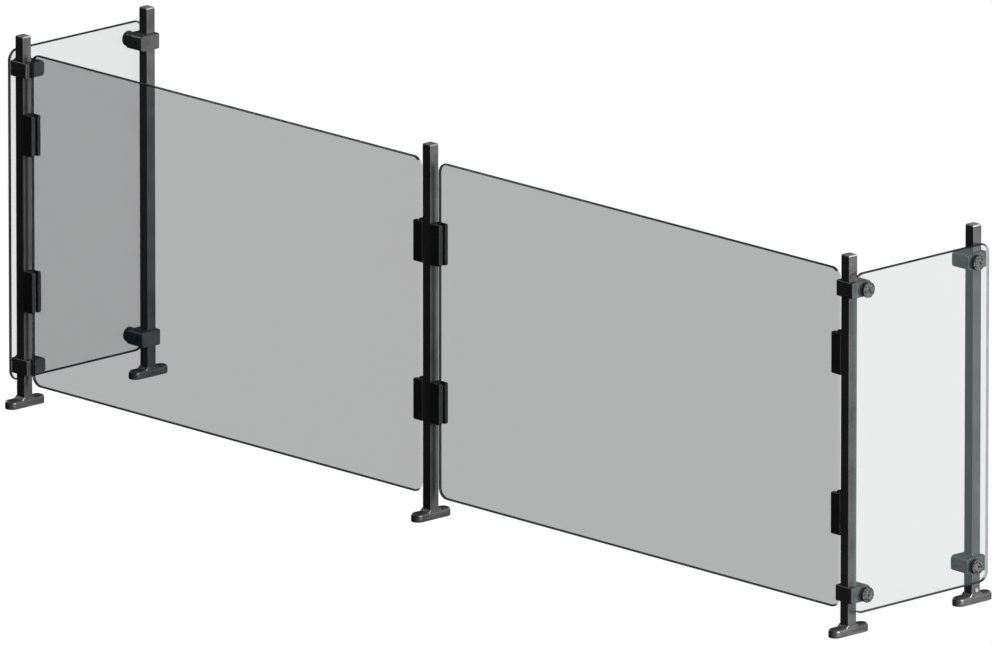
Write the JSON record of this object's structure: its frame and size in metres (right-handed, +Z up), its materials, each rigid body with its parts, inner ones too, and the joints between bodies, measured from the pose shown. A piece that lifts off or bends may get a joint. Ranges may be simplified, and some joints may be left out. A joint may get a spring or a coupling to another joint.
{
  "type": "sneeze guard",
  "caption": "Free-standing countertop sneeze guard: smoked glass front panels clipped between square posts and clear glass end panels on sliding corner clamps.",
  "frame": {"origin": "on the counter under the feet, in the middle of the footprint", "axes": "+X along the front row towards the right-hand end as the customer sees it, +Y from the customer side to the service side, +Z up"},
  "size_m": [2.1722, 0.386, 0.68],
  "materials": {
    "powder_coat": "satin black powder coat",
    "cap_plastic": "moulded, dark grey",
    "foot_rubber": "matte",
    "liner_rubber": "matte",
    "clip_plastic": "fine moulded grain, black",
    "screw_steel": "zinc plated",
    "insert_brass": "turned",
    "knob_metal": "knurled, dark grey",
    "washer_nylon": "smooth",
    "smoked_glass": "polished, grey tinted, tempered",
    "clear_glass": "polished, clear, tempered"
  },
  "bodies": {
    "frame": {"post_front_left": "powder_coat", "foot_front_left": "powder_coat", "post_front_centre": "powder_coat", "foot_front_centre": "powder_coat", "post_front_right": "powder_coat", "foot_front_right": "powder_coat", "post_rear_left": "powder_coat", "foot_rear_left": "powder_coat", "post_rear_right": "powder_coat", "foot_rear_right": "powder_coat", "post_caps": "cap_plastic", "foot_pads": "foot_rubber", "foot_set_screws": "screw_steel", "front_panel_left": "smoked_glass", "front_panel_right": "smoked_glass", "clip_front_left_lower": "clip_plastic", "clip_front_left_upper": "clip_plastic", "clip_centre_left_lower": "clip_plastic", "clip_centre_left_upper": "clip_plastic", "clip_centre_right_lower": "clip_plastic", "clip_centre_right_upper": "clip_plastic", "clip_front_right_lower": "clip_plastic", "clip_front_right_upper": "clip_plastic", "clip_jaws": "clip_plastic", "clip_liners": "liner_rubber", "clip_jaw_screws": "screw_steel", "clip_post_screws": "screw_steel", "clip_nut_bars": "screw_steel"},
    "left_side": {"side_panel_left": "clear_glass", "clamp_front_left_lower": "powder_coat", "clamp_front_left_upper": "powder_coat", "clamp_rear_left_lower": "powder_coat", "clamp_rear_left_upper": "powder_coat", "clamp_inserts_left": "insert_brass", "clamp_pads_left": "liner_rubber", "clamp_grub_screws_left": "screw_steel"},
    "right_side": {"side_panel_right": "clear_glass", "clamp_front_right_lower": "powder_coat", "clamp_front_right_upper": "powder_coat", "clamp_rear_right_lower": "powder_coat", "clamp_rear_right_upper": "powder_coat", "clamp_inserts_right": "insert_brass", "clamp_pads_right": "liner_rubber", "clamp_grub_screws_right": "screw_steel"},
    "washer_front_left_lower": {"knob_washer_front_left_lower": "washer_nylon"},
    "knob_front_left_lower": {"knob_front_left_lower": "knob_metal"},
    "washer_front_left_upper": {"knob_washer_front_left_upper": "washer_nylon"},
    "knob_front_left_upper": {"knob_front_left_upper": "knob_metal"},
    "washer_rear_left_lower": {"knob_washer_rear_left_lower": "washer_nylon"},
    "knob_rear_left_lower": {"knob_rear_left_lower": "knob_metal"},
    "washer_rear_left_upper": {"knob_washer_rear_left_upper": "washer_nylon"},
    "knob_rear_left_upper": {"knob_rear_left_upper": "knob_metal"},
    "washer_front_right_lower": {"knob_washer_front_right_lower": "washer_nylon"},
    "knob_front_right_lower": {"knob_front_right_lower": "knob_metal"},
    "washer_front_right_upper": {"knob_washer_front_right_upper": "washer_nylon"},
    "knob_front_right_upper": {"knob_front_right_upper": "knob_metal"},
    "washer_rear_right_lower": {"knob_washer_rear_right_lower": "washer_nylon"},
    "knob_rear_right_lower": {"knob_rear_right_lower": "knob_metal"},
    "washer_rear_right_upper": {"knob_washer_rear_right_upper": "washer_nylon"},
    "knob_rear_right_upper": {"knob_rear_right_upper": "knob_metal"}
  },
  "joints": [
    {"name": "left_side_height", "type": "slide", "parent": "frame", "child": "left_side", "axis": [0, 0, 1], "range_m": [-0.025, 0.04]},
    {"name": "right_side_height", "type": "slide", "parent": "frame", "child": "right_side", "axis": [0, 0, 1], "range_m": [-0.025, 0.04]},
    {"name": "knob_travel_front_left_lower", "type": "slide", "parent": "left_side", "child": "washer_front_left_lower", "axis": [-1, 0, 0], "range_m": [0, 0.002]},
    {"name": "knob_turn_front_left_lower", "type": "hinge", "parent": "washer_front_left_lower", "child": "knob_front_left_lower", "pos_m": [-1.0813, -0.1332, 0.073], "axis": [-1, 0, 0], "range_deg": [0, 720]},
    {"name": "knob_travel_front_left_upper", "type": "slide", "parent": "left_side", "child": "washer_front_left_upper", "axis": [-1, 0, 0], "range_m": [0, 0.002]},
    {"name": "knob_turn_front_left_upper", "type": "hinge", "parent": "washer_front_left_upper", "child": "knob_front_left_upper", "pos_m": [-1.0813, -0.1332, 0.619], "axis": [-1, 0, 0], "range_deg": [0, 720]},
    {"name": "knob_travel_rear_left_lower", "type": "slide", "parent": "left_side", "child": "washer_rear_left_lower", "axis": [-1, 0, 0], "range_m": [0, 0.002]},
    {"name": "knob_turn_rear_left_lower", "type": "hinge", "parent": "washer_rear_left_lower", "child": "knob_rear_left_lower", "pos_m": [-1.0813, 0.1332, 0.073], "axis": [-1, 0, 0], "range_deg": [0, 720]},
    {"name": "knob_travel_rear_left_upper", "type": "slide", "parent": "left_side", "child": "washer_rear_left_upper", "axis": [-1, 0, 0], "range_m": [0, 0.002]},
    {"name": "knob_turn_rear_left_upper", "type": "hinge", "parent": "washer_rear_left_upper", "child": "knob_rear_left_upper", "pos_m": [-1.0813, 0.1332, 0.619], "axis": [-1, 0, 0], "range_deg": [0, 720]},
    {"name": "knob_travel_front_right_lower", "type": "slide", "parent": "right_side", "child": "washer_front_right_lower", "axis": [1, 0, 0], "range_m": [0, 0.002]},
    {"name": "knob_turn_front_right_lower", "type": "hinge", "parent": "washer_front_right_lower", "child": "knob_front_right_lower", "pos_m": [1.0813, -0.1332, 0.073], "axis": [1, 0, 0], "range_deg": [0, 720]},
    {"name": "knob_travel_front_right_upper", "type": "slide", "parent": "right_side", "child": "washer_front_right_upper", "axis": [1, 0, 0], "range_m": [0, 0.002]},
    {"name": "knob_turn_front_right_upper", "type": "hinge", "parent": "washer_front_right_upper", "child": "knob_front_right_upper", "pos_m": [1.0813, -0.1332, 0.619], "axis": [1, 0, 0], "range_deg": [0, 720]},
    {"name": "knob_travel_rear_right_lower", "type": "slide", "parent": "right_side", "child": "washer_rear_right_lower", "axis": [1, 0, 0], "range_m": [0, 0.002]},
    {"name": "knob_turn_rear_right_lower", "type": "hinge", "parent": "washer_rear_right_lower", "child": "knob_rear_right_lower", "pos_m": [1.0813, 0.1332, 0.073], "axis": [1, 0, 0], "range_deg": [0, 720]},
    {"name": "knob_travel_rear_right_upper", "type": "slide", "parent": "right_side", "child": "washer_rear_right_upper", "axis": [1, 0, 0], "range_m": [0, 0.002]},
    {"name": "knob_turn_rear_right_upper", "type": "hinge", "parent": "washer_rear_right_upper", "child": "knob_rear_right_upper", "pos_m": [1.0813, 0.1332, 0.619], "axis": [1, 0, 0], "range_deg": [0, 720]}
  ],
  "couplings": [
    {"joint": "knob_turn_front_left_lower", "follows": "knob_travel_front_left_lower", "rad_per_m": 6283.2},
    {"joint": "knob_turn_front_left_upper", "follows": "knob_travel_front_left_upper", "rad_per_m": 6283.2},
    {"joint": "knob_turn_rear_left_lower", "follows": "knob_travel_rear_left_lower", "rad_per_m": 6283.2},
    {"joint": "knob_turn_rear_left_upper", "follows": "knob_travel_rear_left_upper", "rad_per_m": 6283.2},
    {"joint": "knob_turn_front_right_lower", "follows": "knob_travel_front_right_lower", "rad_per_m": 6283.2},
    {"joint": "knob_turn_front_right_upper", "follows": "knob_travel_front_right_upper", "rad_per_m": 6283.2},
    {"joint": "knob_turn_rear_right_lower", "follows": "knob_travel_rear_right_lower", "rad_per_m": 6283.2},
    {"joint": "knob_turn_rear_right_upper", "follows": "knob_travel_rear_right_upper", "rad_per_m": 6283.2}
  ]
}
